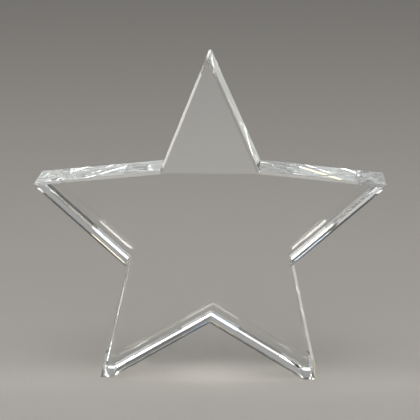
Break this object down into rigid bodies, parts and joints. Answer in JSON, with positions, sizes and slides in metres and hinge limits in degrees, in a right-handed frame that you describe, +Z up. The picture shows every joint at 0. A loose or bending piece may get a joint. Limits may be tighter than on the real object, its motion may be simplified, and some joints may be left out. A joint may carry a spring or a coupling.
{
  "type": "star trophy",
  "caption": "Free-standing star award cut from one thick block of clear crystal, with bevelled faces, flat polished sides and two points ground flat as feet.",
  "frame": {"origin": "centre of the bounding box on the floor plane, midway between front and back face and level with the foot flats", "axes": "+X to the star's right seen from the front, along its width; +Y from the front face to the back face, through the thickness; +Z up to the top point"},
  "size_m": [0.099, 0.02, 0.0919],
  "materials": {
    "crystal": "polished clear optical crystal, very faintly green along the edges"
  },
  "bodies": {
    "root": {"crystal_star": "crystal"}
  },
  "joints": []
}
